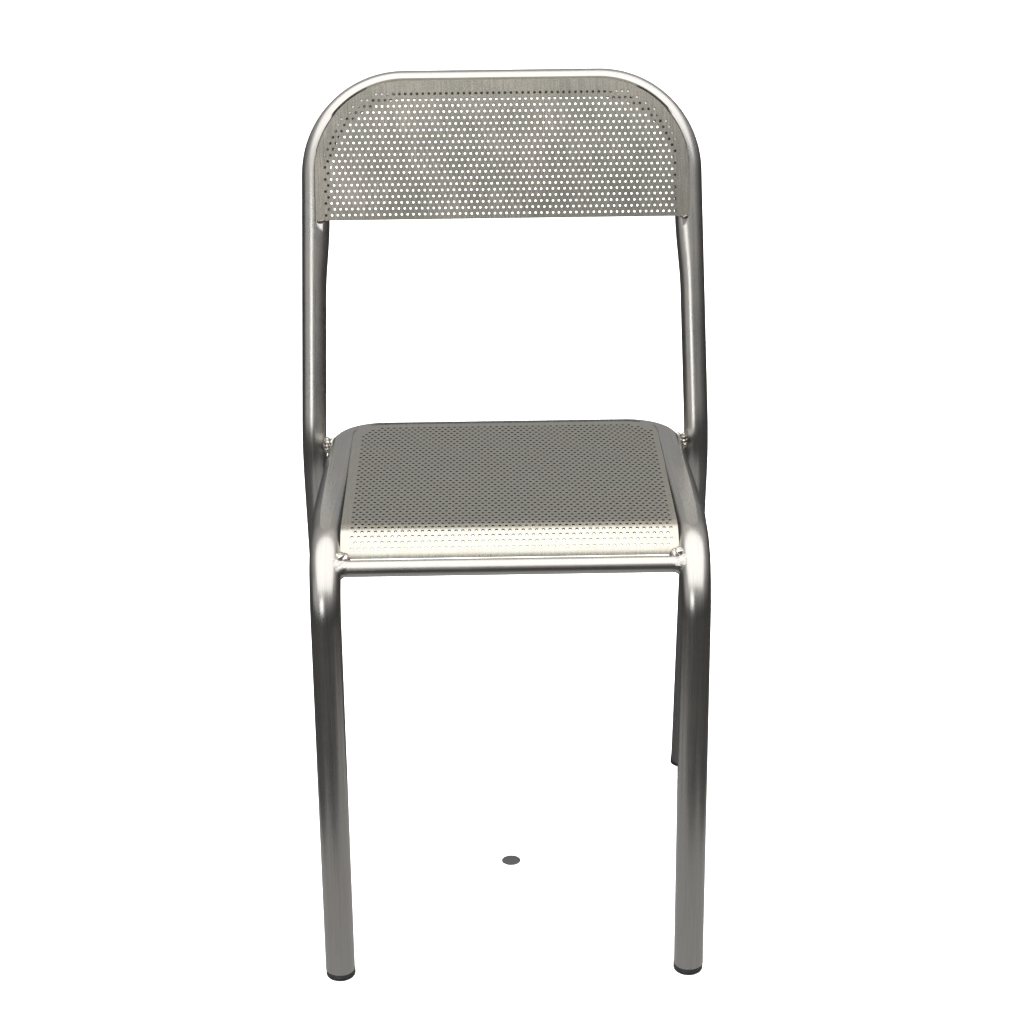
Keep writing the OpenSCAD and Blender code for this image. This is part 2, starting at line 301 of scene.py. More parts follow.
def build_seat_frame():
    """Front legs, seat sides and rear loop, bent from one tube. The crown is pressed flat in the
    seat's top plane, and a recess one sheet deep follows the panel's outline. Pressing makes the
    tube bulge outwards: there the radius grows by a share of the squared cosine."""
    seat_z = lambda y: SEAT_H - (y - FRONT_Y) * math.tan(SEAT_TILT)
    front_z = seat_z(FRONT_Y) - LEG_R + PRESS_FRONT
    rear_z = seat_z(REAR_AXIS_Y) - LEG_R + PRESS_REAR
    foot = feet["foot_front_right"]
    half_path = [[foot[0], foot[1], TUBE_END], [LEG_TOP_X, FRONT_Y, front_z],
                 [SIDE_REAR_X, REAR_AXIS_Y, rear_z]]
    left = [[-p[0], p[1], p[2]] for p in half_path]
    places, ahead = centre_line(left + half_path[::-1], [0.060, 0.040, 0.040, 0.060],
                                [0.008, 0.004, 0.010, 0.004, 0.008])
    side = np.sign(places[:, :1])
    level = unit(np.cross(ahead, SEAT_UP))
    plain = unit(-side * SEAT_ACROSS + side * (ahead @ SEAT_ACROSS)[:, None] * ahead)
    share = smooth_step(FRONT_Y + 0.10, FRONT_Y + 0.26, places[:, 1])[:, None]
    across = unit(plain * (1 - share) + level * share)
    across = unit(across - (across * ahead).sum(axis=1, keepdims=True) * ahead)
    facing = unit(np.cross(across, ahead))

    local = places - SEAT_ORIGIN
    u, v, w = local @ SEAT_ACROSS, local @ SEAT_BACK, local @ SEAT_UP
    du, dv = across @ SEAT_ACROSS, across @ SEAT_BACK
    wall = wall_reach(u, v, du, dv, SEAT_HALF + SEAM, SEAT_LEN + SEAM, SEAT_CORNER + SEAM)
    rise = facing @ SEAT_UP
    crown = bounded(-w, rise, FAR)
    ledge = bounded(-w - SHEET, rise, FAR)
    flat_edge = np.arcsin(np.clip(crown / LEG_R, 0.2, 0.995))
    spread = np.interp(v, SPREAD_RUN, SPREAD)
    outer_flat = flat_edge
    for _ in range(6):
        bulged = LEG_R * (1 + spread * np.cos(outer_flat) ** 2)
        outer_flat = np.arcsin(np.clip(crown / bulged, 0.2, 0.995))
    ledge_edge = np.arcsin(np.clip(ledge / LEG_R, 0.2, 0.99))
    wall_top = np.clip(np.arctan2(np.minimum(crown, LEG_R), wall), ledge_edge + 0.04, None)
    wall_foot = np.clip(np.arctan2(np.minimum(ledge, LEG_R), wall), ledge_edge + 0.02, wall_top - 0.02)
    outer_edge = np.maximum(np.pi - outer_flat, wall_top + 0.05)
    knots = np.stack([ledge_edge, wall_foot, wall_top, outer_edge], 1)
    angles = spread_angles(knots, [4, 2, 7, 34], 0.03)

    cos, sin = np.cos(angles), np.sin(angles)
    radius = LEG_R * (1 + spread[:, None] * np.maximum(-cos, 0) ** 2)
    lift = across @ SEAT_UP
    climb = cos * lift[:, None] + sin * rise[:, None]
    top = bounded(-w[:, None], climb, FAR)
    low = bounded(-w[:, None] - SHEET, climb, FAR)
    edge = bounded(wall[:, None], cos, FAR)
    in_flat = (v > 0)[:, None]
    radius = np.minimum(radius, np.where(in_flat, top, FAR))
    behind_roll = (v > ROLL_START - SEAM)[:, None]
    radius = np.minimum(radius, np.where(behind_roll, np.maximum(low, edge), FAR))
    on_edge = places[:, None] + edge[..., None] * (cos[..., None] * across[:, None]
                                                  + sin[..., None] * facing[:, None]) - SEAT_ORIGIN
    from_roll = np.hypot(on_edge @ SEAT_BACK - ROLL_START, on_edge @ SEAT_UP + ROLL_R)
    slot = smooth_step(ROLL_R + 0.002, ROLL_R - 0.003, from_roll) * (edge < LEG_R)
    radius = radius + (np.minimum(radius, edge) - radius) * slot
    piece, vertices = tube("seat_frame_tube", places, across, facing, angles, radius)
    rail_x = rail_box[1][0]
    rail_y = (rail_box[0][1] + rail_box[1][1]) / 2
    rail_z = (rail_box[0][2] + rail_box[1][2]) / 2
    spots = [[s * (rail_x + 0.004), rail_y - 0.006, rail_z - 0.004] for s in (-1, 1)]
    spots += [[s * spacer_box[0][0], JOINT[1] + 0.004, spacer_box[0][2] + 0.006] for s in (-1, 1)]
    set_heat(piece, vertices, spots, 0.024)
    return piece


def build_back_frame():
    """Rear legs, uprights and top bow, bent from one tube. The front is recessed for the panel.
    Below the panel the recess closes in a short point, and the tube swells inwards a little."""
    foot = feet["foot_rear_right"]
    splay = (foot[1] - JOINT[1]) / JOINT[2]
    half_path = [[foot[0], foot[1] - TUBE_END * splay, TUBE_END], JOINT.tolist(), BOW.tolist()]
    left = [[-p[0], p[1], p[2]] for p in half_path]
    places, ahead = centre_line(left + half_path[::-1], [0.140, 0.092, 0.092, 0.140],
                                [0.010, 0.0022, 0.008, 0.0022, 0.010])
    across = unit(np.cross(ahead, BACK_FRONT))
    facing = unit(np.cross(across, ahead))

    local = places - BACK_ORIGIN
    u, v = local @ SEAT_ACROSS, local @ BACK_SLOPE
    du, dv = across @ SEAT_ACROSS, across @ BACK_SLOPE
    wall = wall_reach(u, v, du, dv, BACK_HALF + SEAM, BACK_TOP + SEAM, BACK_CORNER + SEAM)
    bottom = BACK_TOP - BACK_H - SEAM
    below = np.clip((bottom - v) / 0.015, 0, 2)
    wall = wall + 0.013 * below ** 1.7
    floor = np.full_like(v, BACK_FACE - SHEET)
    ledge_edge = np.arcsin(np.clip(floor / BACK_R, 0.2, 0.99))
    wall_height = np.sqrt(np.maximum(BACK_R ** 2 - wall ** 2, 0))
    wall_top = np.clip(np.arctan2(wall_height, wall), ledge_edge + 0.04, None)
    wall_foot = np.clip(np.arctan2(floor, wall), ledge_edge + 0.02, wall_top - 0.02)
    knots = np.stack([ledge_edge, wall_foot, wall_top], 1)
    angles = spread_angles(knots, [5, 3, 38], 0.03)

    cos, sin = np.cos(angles), np.sin(angles)
    low = bounded(floor[:, None], sin, FAR)
    edge = np.where(wall[:, None] < 0, -bounded(wall[:, None], -cos, -FAR), bounded(wall[:, None], cos, FAR))
    entry = np.where(wall[:, None] < 0, np.where(cos < 0, 0, low), np.maximum(low, edge))
    past = (wall[:, None] < 0) & (cos < 0)
    out_of = bounded(-wall[:, None], -cos, FAR)
    entry = np.where(past, np.where(low < out_of, low, FAR), entry)
    radius = np.minimum(np.full(angles.shape, BACK_R), entry)
    swell = smooth_step(bottom - SWELL_RUN, bottom, v)
    radius = radius * (1 + BACK_SWELL * swell[:, None] * np.maximum(cos, 0) ** 2)
    piece, vertices = tube("back_frame_tube", places, across, facing, angles, radius)
    spots = [[s * spacer_box[1][0], JOINT[1] + 0.004, spacer_box[0][2] + 0.006] for s in (-1, 1)]
    corner_box = [np.array(corner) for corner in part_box("back_corner_weld_right")]
    middle = (corner_box[0] + corner_box[1]) / 2
    spots += [[s * middle[0], middle[1], middle[2]] for s in (-1, 1)]
    set_heat(piece, vertices, spots, 0.022)
    return piece


# ---------------------------------------------------------------- perforated sheets

RIM = np.array([(0, 0), (1, 0), (2, 0), (3, 0), (4, 0), (4, 1), (4, 2), (3, 2), (2, 2), (1, 2), (0, 2),
                (0, 1)])
RIM_TURN = np.radians(210 + 30 * np.arange(12))


def perforated_sheet(name, x_lines, y_lines, starts, radius, outline, place):
    """A sheet on a grid of lines, with a round hole in the middle of each 4 by 2 block of cells.

    starts holds each block's first column and row. outline(x, y) moves points beyond the sheet's
    edge onto it and says which those were. place(x, y, depth) bends the flat sheet into the chair.
    Twelve quads join a block's rim to its hole, and every open edge gets a wall to the far face.
    """
    columns, rows = len(x_lines), len(y_lines)
    x, y = [a.ravel() for a in np.meshgrid(x_lines, y_lines, indexing="ij")]
    x, y, beyond = outline(x, y)
    number = np.arange(columns * rows).reshape(columns, rows)
    covered = np.zeros((columns - 1, rows - 1), bool)
    for i in range(4):
        for j in range(2):
            covered[starts[:, 0] + i, starts[:, 1] + j] = True
    cells = np.stack([number[:-1, :-1], number[1:, :-1], number[1:, 1:], number[:-1, 1:]], -1)
    cells = cells[~covered]
    cells = cells[~beyond[cells].all(axis=1)]
    rim = number[starts[:, :1] + RIM[:, 0], starts[:, 1:] + RIM[:, 1]]
    centre_x = x_lines[starts[:, 0] + 2][:, None]
    centre_y = y_lines[starts[:, 1] + 1][:, None]
    hole_x = centre_x + radius * np.cos(RIM_TURN)
    hole_y = centre_y + radius * np.sin(RIM_TURN)
    hole = len(x) + np.arange(hole_x.size).reshape(hole_x.shape)
    at_hole = np.append(np.zeros(len(x)), np.ones(hole_x.size))
    x, y = np.append(x, hole_x), np.append(y, hole_y)
    rings = np.stack([rim, np.roll(rim, -1, 1), np.roll(hole, -1, 1), hole], -1).reshape(-1, 4)
    top = np.concatenate([cells, rings])

    count = len(x)
    edges = np.stack([top, np.roll(top, -1, 1)], -1).reshape(-1, 2)
    forward = edges[:, 0] * count + edges[:, 1]
    backward = edges[:, 1] * count + edges[:, 0]
    rims = edges[~np.isin(forward, backward)]
    walls = np.stack([rims[:, 0], rims[:, 0] + count, rims[:, 1] + count, rims[:, 1]], 1)
    vertices = np.concatenate([place(x, y, 0.0), place(x, y, SHEET)])
    quads = np.concatenate([top, top[:, ::-1] + count, walls])
    used, quads = np.unique(quads, return_inverse=True)
    piece = add_mesh(name, vertices[used], quads.reshape(-1, 4), sharp=40)
    set_number(piece, "across", np.tile(x, 2)[used])
    set_number(piece, "run", np.tile(y, 2)[used])
    set_number(piece, "at_hole", np.tile(at_hole, 2)[used])
    return piece


def hole_starts(rows, holes, fewer, first_column, first_row, keep):
    """First column and row of each hole's block. Every other row is shifted by half a pitch and may
    have fewer holes. keep(column, line) says which blocks lie inside the perforated field."""
    row = np.arange(rows)[:, None]
    hole = np.arange(holes)[None]
    shifted = row % 2
    column = first_column + 4 * hole + 2 * shifted
    line = np.broadcast_to(first_row + 2 * row, column.shape)
    inside = (hole < holes - fewer * shifted) & keep(column, line)
    return np.stack([column[inside], line[inside]], 1)


def round_corners(half, end, corner):
    """An outline straight at the sides, with rounded corners at its far end."""
    def outline(x, y):
        past_x, past_y = np.abs(x) - (half - corner), y - (end - corner)
        gap = np.hypot(past_x, past_y)
        beyond = (past_x > 0) & (past_y > 0) & (gap > corner)
        pull = np.where(beyond, corner / np.maximum(gap, 1e-9), 1.0)
        new_x = np.where(beyond, np.sign(x) * (half - corner + past_x * pull), x)
        new_y = np.where(beyond, end - corner + past_y * pull, y)
        return new_x, new_y, beyond
    return outline


def build_seat_panel():
    """Flat on the seat's slope, and rolled down at the front: there a point turns about the roll's
    axis by its run divided by the roll's radius."""
    field = (SEAT_HOLES + 0.5) * SEAT_PITCH
    start = SEAT_SHIFT - field / 2
    lip = ROLL_START - ROLL_R * ROLL_TURN
    last = SEAT_FIRST_ROW - (SEAT_ROWS - 1) * SEAT_ROW
    x_lines = np.concatenate([np.linspace(-SEAT_HALF, start, 7)[:-1],
                              np.linspace(start, start + field, 4 * SEAT_HOLES + 3),
                              np.linspace(start + field, SEAT_HALF, 7)[1:]])
    y_lines = np.concatenate([np.linspace(lip, last - SEAT_ROW / 2, 5)[:-1],
                              last + SEAT_ROW * (np.arange(2 * SEAT_ROWS + 1) - 1) / 2,
                              np.linspace(SEAT_FIRST_ROW + SEAT_ROW / 2, SEAT_LEN, 9)[1:]])
    corner_x, corner_y = SEAT_HALF - SEAT_CORNER, SEAT_LEN - SEAT_CORNER

    def keep(column, line):
        past_x = np.abs(x_lines[column + 2]) - corner_x
        past_y = y_lines[line + 1] - corner_y
        return (past_x < 0) | (past_y < 0) | (np.hypot(past_x, past_y) < SEAT_FIELD_CORNER)

    def place(x, y, depth):
        angle = np.maximum(ROLL_START - y, 0) / ROLL_R
        r = ROLL_R - depth
        run = np.where(angle > 0, ROLL_START - r * np.sin(angle), y)
        height = np.where(angle > 0, r * np.cos(angle) - ROLL_R, -depth)
        return (SEAT_ORIGIN + x[:, None] * SEAT_ACROSS + run[:, None] * SEAT_BACK
                + height[:, None] * SEAT_UP)

    starts = hole_starts(SEAT_ROWS, SEAT_HOLES, 0, 6, 4, keep)
    outline = round_corners(SEAT_HALF, SEAT_LEN, SEAT_CORNER)
    return perforated_sheet("seat_sheet", x_lines, y_lines, starts, SEAT_HOLE, outline, place)


def build_back_panel():
    """Flat in the bow's recess, with two large round top corners."""
    field = BACK_HOLES * BACK_PITCH
    start = BACK_SHIFT - field / 2
    bottom = BACK_TOP - BACK_H
    last = BACK_FIRST_ROW - (BACK_ROWS - 1) * BACK_ROW
    x_lines = np.concatenate([np.linspace(-BACK_HALF, start, 5)[:-1],
                              np.linspace(start, start + field, 4 * BACK_HOLES + 1),
                              np.linspace(start + field, BACK_HALF, 5)[1:]])
    y_lines = np.concatenate([np.linspace(bottom, last - BACK_ROW / 2, 3)[:-1],
                              last + BACK_ROW * (np.arange(2 * BACK_ROWS + 1) - 1) / 2,
                              np.linspace(BACK_FIRST_ROW + BACK_ROW / 2, BACK_TOP, 7)[1:]])
    corner_x, corner_y = BACK_HALF - BACK_CORNER, BACK_TOP - BACK_CORNER

    def keep(column, line):
        past_x = np.abs(x_lines[column + 2]) - corner_x
        past_y = y_lines[line + 1] - corner_y
        return (past_x < 0) | (past_y < 0) | (np.hypot(past_x, past_y) < BACK_FIELD_CORNER)

    def place(x, y, depth):
        return (BACK_ORIGIN + x[:, None] * SEAT_ACROSS + y[:, None] * BACK_SLOPE
                + (BACK_FACE - depth) * BACK_FRONT)

    starts = hole_starts(BACK_ROWS, BACK_HOLES, 1, 4, 2, keep)
    outline = round_corners(BACK_HALF, BACK_TOP, BACK_CORNER)
    return perforated_sheet("back_sheet", x_lines, y_lines, starts, BACK_HOLE, outline, place)


# ---------------------------------------------------------------- turned pieces and welds

def bumps(seed, count):
    """Random directions, rates and phases for a lumpy surface."""
    draw = np.random.default_rng(seed)
    return unit(draw.normal(size=(count, 3))), draw.uniform(0.7, 1.6, count), draw.uniform(0, 6.28, count)


def lumps(points, seed, size, count=9):
    """A smooth lumpy number at each point: the mean of sine waves in random directions, whose
    wavelength is about size."""
    directions, rates, phases = bumps(seed, count)
    waves = np.sin((points @ directions.T) * rates * (2 * np.pi / size) + phases)
    return waves.sum(axis=1) / math.sqrt(count)


def turned(name, profile, origin, axis, start=None, columns=48, floor=None):
    """A closed loop profile of (distance along the axis, radius) turned about the axis."""
    axis = unit(np.asarray(axis, float))
    side = unit(np.cross(axis, [0.0, 1.0, 0.0] if abs(axis[1]) < 0.9 else [1.0, 0.0, 0.0]))
    other = np.cross(axis, side)
    profile = np.asarray(profile, float)
    turn = np.linspace(0, 2 * np.pi, columns, endpoint=False)
    ring = np.cos(turn)[:, None] * side + np.sin(turn)[:, None] * other
    vertices = (np.asarray(origin, float) + profile[:, None, :1] * axis
                + profile[:, None, 1:] * ring[None]).reshape(-1, 3)
    if floor is not None:
        vertices[:, 2] = np.maximum(vertices[:, 2], floor)
    quads = grid_quads(len(profile), columns, wrap_rows=True)
    return add_mesh(name, vertices, quads, sharp=50), vertices


def arc(centre, radius, start, stop, count):
    """Points of a circular arc, as (along, radius) pairs, from one angle to another in degrees."""
    angle = np.radians(np.linspace(start, stop, count))
    return [(centre[0] + radius * math.cos(a), centre[1] + radius * math.sin(a)) for a in angle]


def build_rail():
    """Round tube between the front legs: a hollow profile turned about the cross axis."""
    middle = (rail_box[0] + rail_box[1]) / 2
    radius = (rail_box[1][2] - rail_box[0][2]) / 2
    reach = rail_box[1][0] + 0.001
    bore = radius - WALL
    outer = [(x, radius) for x in np.linspace(-reach, reach, 60)]
    inner = [(x, bore) for x in np.linspace(reach, -reach, 30)]
    piece, vertices = turned("front_rail_tube", outer + inner, [0, middle[1], middle[2]], [1, 0, 0])
    spots = [[s * reach, middle[1], middle[2]] for s in (-1, 1)]
    set_heat(piece, vertices, spots, 0.018)
    set_number(piece, "along", vertices[:, 0])
    turn = np.arctan2(vertices[:, 1] - middle[1], vertices[:, 2] - middle[2])
    set_number(piece, "turn_x", np.cos(turn))
    set_number(piece, "turn_y", np.sin(turn))
    return piece


def build_rail_weld(side):
    """Fillet bead round the rail's end: a quarter round that flares from the rail to the leg, drawn
    out to the side by leg radius - sqrt(leg radius^2 - offset^2) so that it sits on the round leg,
    with small ripples."""
    middle = (rail_box[0] + rail_box[1]) / 2
    radius = (rail_box[1][2] - rail_box[0][2]) / 2
    flare = 0.0062
    start = LEG_TOP_X - LEG_R + 0.0012 - flare
    profile = [(start - 0.001, radius - 0.0006), (start - 0.0008, radius + 0.0001)]
    profile += arc((start, radius + flare), flare, -88, -8, 12)
    profile += [(start + flare + 0.002, radius + flare - 0.001), (start + flare + 0.002, radius - 0.0006)]
    name = "rail_bead_" + ("right" if side > 0 else "left")
    origin = np.array([0.0, middle[1], middle[2]])
    piece, vertices = turned(name, profile, origin, [side, 0, 0], columns=72)
    away = vertices - origin
    away[:, 0] = 0
    bend = math.radians(RAIL_TURN)
    offset = away[:, 2] * math.sin(bend) - away[:, 1] * math.cos(bend)
    drawn = LEG_R - np.sqrt(np.maximum(LEG_R ** 2 - offset ** 2, 0))
    grow = 0.00016 * lumps(vertices, 31 + side, 0.006) + 0.00006 * lumps(vertices, 41 + side, 0.0025)
    share = np.clip((np.abs(vertices[:, 0]) - start) / flare, 0, 1)
    vertices = vertices + unit(away) * grow[:, None]
    vertices[:, 0] += side * share * drawn
    piece.data.vertices.foreach_set("co", vertices.astype(np.float32).ravel())
    return piece


def blob(centre, radii, seed, roughness, size, rings, columns):
    """A lumpy ball: each direction from the centre is pushed out or in by smooth lumps. The first
    and last rings are small, and the means of both are given to close them with."""
    polar = np.linspace(0.02, np.pi - 0.02, rings)[:, None]
    turn = np.linspace(0, 2 * np.pi, columns, endpoint=False)[None]
    direction = np.stack([np.sin(polar) * np.cos(turn), np.sin(polar) * np.sin(turn),
                          np.cos(polar) + 0 * turn], -1).reshape(-1, 3)
    vertices = np.asarray(centre) + direction * np.asarray(radii)
    coarse = lumps(vertices, seed, size)
    fine = lumps(vertices, seed + 7, size / 2.3)
    push = 1 + roughness * coarse + 0.4 * roughness * fine
    vertices = np.asarray(centre) + direction * np.asarray(radii) * push[:, None]
    body = grid_quads(rings, columns)[:, ::-1]
    caps = np.stack([vertices[:columns].mean(0), vertices[-columns:].mean(0)])
    return vertices, body, caps


def lumpy_cluster(name, balls):
    """One mesh of several lumpy balls that run into each other. Each pole is closed by quads that
    meet at a middle vertex."""
    rings, columns = 24, 32
    all_vertices, all_quads, first = [], [], 0
    for centre, radii, seed, roughness, size in balls:
        vertices, body, caps = blob(centre, radii, seed, roughness, size, rings, columns)
        all_vertices += [vertices, caps]
        pairs = np.arange(0, columns, 2)
        low = len(vertices)
        top = np.stack([pairs, (pairs + 1) % columns, (pairs + 2) % columns, np.full_like(pairs, low)], 1)
        last = (rings - 1) * columns
        end = np.stack([last + (pairs + 2) % columns, last + (pairs + 1) % columns, last + pairs,
                        np.full_like(pairs, low + 1)], 1)
        all_quads += [body + first, top + first, end + first]
        first += len(vertices) + 2
    return add_mesh(name, np.concatenate(all_vertices), np.concatenate(all_quads), sharp=60)


def build_seat_corner_weld(side):
    """Blob of bright weld over the rail's end, where the seat sheet's corner meets the leg."""
    low, high = [np.array(c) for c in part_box("seat_corner_weld_" + ("right" if side > 0 else "left"))]
    middle = (low + high) / 2
    name = "seat_corner_bead_" + ("right" if side > 0 else "left")
    balls = [(middle + [0.000, 0.0005, -0.001], [0.0062, 0.0062, 0.0060], 5 + side, 0.03, 0.007),
             (middle + [side * 0.0032, -0.002, 0.0030], [0.0046, 0.0046, 0.0042], 15 + side, 0.07, 0.005),
             (middle + [side * 0.0005, -0.0045, -0.0050], [0.0048, 0.0036, 0.0036], 25 + side, 0.07, 0.005)]
    return lumpy_cluster(name, balls)


def build_back_corner_weld(side):
    """Small bead under the back panel's bottom corner."""
    low, high = [np.array(c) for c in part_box("back_corner_weld_" + ("right" if side > 0 else "left"))]
    middle = (low + high) / 2
    name = "back_corner_bead_" + ("right" if side > 0 else "left")
    balls = [(middle + [side * 0.0002, 0.0006, 0.0008], [0.0032, 0.0020, 0.0024], 55 + side, 0.06, 0.004),
             (middle + [side * -0.0026, 0.0010, 0.0016], [0.0022, 0.0016, 0.0016], 65 + side, 0.06, 0.004)]
    return lumpy_cluster(name, balls)


def build_spacer(side):
    """Short solid bar with turned grooves, between the seat frame and the upright."""
    low, high = spacer_box
    radius = (high[1] - low[1]) / 2 - 0.0006
    middle = (low + high) / 2
    length = np.linspace(low[0] - 0.001, high[0] + 0.001, 22)
    groove = radius - 0.00025 * (1 + np.cos(2 * np.pi * (length - low[0]) / 0.0028))
    profile = [(length[0], 0.0004)] + list(zip(length, groove)) + [(length[-1], 0.0004)]
    name = "spacer_bar_" + ("right" if side > 0 else "left")
    piece, _ = turned(name, profile, [0, middle[1], middle[2]], [side, 0, 0], columns=36)
    return piece


def build_spacer_weld(side):
    """Beads at both ends of the spacer: balls of weld set round the bar, overlapping."""
    low, high = spacer_box
    middle = (low + high) / 2
    radius = (high[1] - low[1]) / 2
    draw = np.random.default_rng(80 + side)
    balls = []
    for x, lean in ((low[0] + 0.0022, 0.2), (high[0] - 0.0020, 0.9)):
        for turn in np.linspace(0, 2 * np.pi, 9, endpoint=False) + lean:
            size = draw.uniform(0.0022, 0.0033)
            away = radius - 0.0004 + draw.uniform(-0.0004, 0.0006)
            centre = [side * (x + draw.uniform(-0.0005, 0.0005)), middle[1] + away * math.cos(turn),
                      middle[2] + away * math.sin(turn)]
            shape = [size * draw.uniform(0.9, 1.2), size * draw.uniform(0.9, 1.1), size]
            balls.append((np.array(centre), shape, int(draw.integers(1000)), 0.06, 0.004))
    name = "spacer_bead_" + ("right" if side > 0 else "left")
    return lumpy_cluster(name, balls)


def build_glide(name, tube_radius, foot, top):
    """Moulded plug with a domed head: a turned profile, trimmed flat where it rests on the floor."""
    foot = np.array(foot, float)
    top = np.array(top, float)
    axis = unit(top - foot)
    end = foot + axis * (TUBE_END / axis[2])
    radius = tube_radius + 0.0004
    bore = tube_radius - WALL - 0.0001
    nose = 0.0030
    drop = TUBE_END / axis[2] + tube_radius * math.hypot(axis[0], axis[1]) + 0.0004
    profile = [(0.018, bore - 0.0022), (0.020, bore - 0.0016), (0.020, bore - 0.0008)]
    for rib in (0.016, 0.011, 0.006):
        profile += [(rib + 0.0012, bore - 0.0007), (rib, bore), (rib - 0.0004, bore - 0.0007)]
    profile += [(0.0, bore - 0.0007), (0.0, radius - 0.0004), (-0.0004, radius)]
    profile += [(-0.0018, radius), (-0.0021, radius - 0.00025), (-0.0024, radius)]
    profile += arc((nose - drop, radius - nose), nose, 90, 180, 8)
    profile += [(-drop, radius - nose - 0.002), (-drop, 0.0003), (0.003, 0.0003), (0.003, bore - 0.0022)]
    piece, _ = turned(name, profile, end, axis, columns=56, floor=0.0)
    return piece


# ---------------------------------------------------------------- finishes

class Reading:
    """A number that changes over a surface. Arithmetic on it adds Math nodes."""

    def __init__(self, finish, socket):
        self.finish = finish
        self.socket = socket

    def __add__(self, other):
        return self.finish.math("ADD", self, other)

    def __radd__(self, other):
        return self.finish.math("ADD", other, self)

    def __sub__(self, other):
        return self.finish.math("SUBTRACT", self, other)

    def __rsub__(self, other):
        return self.finish.math("SUBTRACT", other, self)

    def __mul__(self, other):
        return self.finish.math("MULTIPLY", self, other)

    def __rmul__(self, other):
        return self.finish.math("MULTIPLY", other, self)

    def __pow__(self, power):
        return self.finish.math("POWER", self, power)


class Finish:
    """One material under way, with short calls for the nodes that it is made of."""

    def __init__(self, name, **constants):
        self.material = bpy.data.materials.new(name)
        self.material.use_nodes = True
        self.nodes = self.material.node_tree.nodes
        self.links = self.material.node_tree.links
        self.shader = self.nodes["Principled BSDF"]
        for socket, value in constants.items():
            self.shader.inputs[socket.replace("_", " ")].default_value = value

    def feed(self, socket, value):
        if isinstance(value, Reading):
            self.links.new(value.socket, socket)
        else:
            socket.default_value = value

    def node(self, kind, settings=None, output=0, **sockets):
        """A node of that kind, with its settings made first and then its sockets fed."""
        made = self.nodes.new("ShaderNode" + kind)
        for name, value in (settings or {}).items():
            setattr(made, name, value)
        for name, value in sockets.items():
            place = int(name[1:]) if name[0] == "i" and name[1:].isdigit() else name.replace("_", " ")
            self.feed(made.inputs[place], value)
        return Reading(self, made.outputs[output])

    def math(self, operation, a, b):
        return self.node("Math", {"operation": operation}, i0=a, i1=b)

    def place(self):
        return self.node("TexCoord", output="Object")

    def number(self, name):
        return self.node("Attribute", {"attribute_name": name}, output="Fac")

    def join(self, x, y, z):
        return self.node("CombineXYZ", X=x, Y=y, Z=z)

    def stretch(self, vector, scale):
        return self.node("Mapping", Vector=vector, Scale=scale)

    def noise(self, vector, scale, detail=2.0, roughness=0.5):
        return self.node("TexNoise", Vector=vector, Scale=scale, Detail=detail, Roughness=roughness)

    def span(self, value, low, high, to_low=0.0, to_high=1.0):
        """Maps low..high to to_low..to_high in a smooth step, and holds the ends."""
        return self.node("MapRange", {"interpolation_type": "SMOOTHSTEP"}, Value=value, i1=low, i2=high,
                         i3=to_low, i4=to_high)

    def blend(self, share, first, second):
        colours = [tuple(c) + (1.0,) if isinstance(c, tuple) else c for c in (first, second)]
        return self.node("Mix", {"data_type": "RGBA"}, output=2, i0=share, i6=colours[0], i7=colours[1])

    def relief(self, height, distance, strength=1.0, normal=None):
        extra = {} if normal is None else {"Normal": normal}
        return self.node("Bump", Height=height, Distance=distance, Strength=strength, **extra)

    def wear(self, colour=None, roughness=None, normal=None):
        """Feeds the shader and gives the finished material."""
        for name, value in (("Base Color", colour), ("Roughness", roughness), ("Normal", normal)):
            if value is not None:
                self.feed(self.shader.inputs[name], value)
        return self.material


def tube_steel():
    """Raw steel tube, brushed lengthwise and clear coated: long streaks, a mottled warm tint, fine
    grain, and darker speckled steel where welding heated it."""
    f = Finish("tube_steel", Metallic=1.0, Coat_Weight=0.25, Coat_Roughness=0.12)
    along = f.number("along")
    turn_x, turn_y = f.number("turn_x"), f.number("turn_y")
    heat = f.number("heat")
    round_it = f.join(turn_x * 1.0, turn_y * 1.0, along * 6.0)
    streaks = f.noise(f.stretch(round_it, (14.0, 14.0, 1.0)), 2.2, 4.0, 0.6)
    fine = f.noise(f.stretch(round_it, (60.0, 60.0, 3.0)), 2.0, 3.0, 0.6)
    cloud = f.noise(f.place(), 16.0, 3.0, 0.55)
    grain = f.noise(f.place(), 900.0, 2.0, 0.6)
    orange_peel = f.noise(f.place(), 330.0, 2.0, 0.5)
    tint = f.blend(f.span(cloud, 0.35, 0.65), (0.365, 0.358, 0.340), (0.385, 0.362, 0.335))
    streaked = f.blend(f.span(streaks, 0.3, 0.75, 0.0, 0.55), tint, (0.54, 0.53, 0.505))
    speck = f.span(grain, 0.52, 0.68) * heat
    burnt = f.blend(f.span(heat, 0.15, 0.9, 0.0, 0.55), streaked, (0.20, 0.165, 0.135))
    colour = f.blend(speck * 0.8, burnt, (0.75, 0.74, 0.70))
    roughness = 0.22 + streaks * 0.12 + (cloud - 0.5) * 0.12 + heat * 0.10
    height = fine * 0.35 + orange_peel * (0.30 + heat * 1.2) + grain * (0.10 + heat * 0.8)
    return f.wear(colour, roughness, f.relief(height, 0.00012, 0.55))


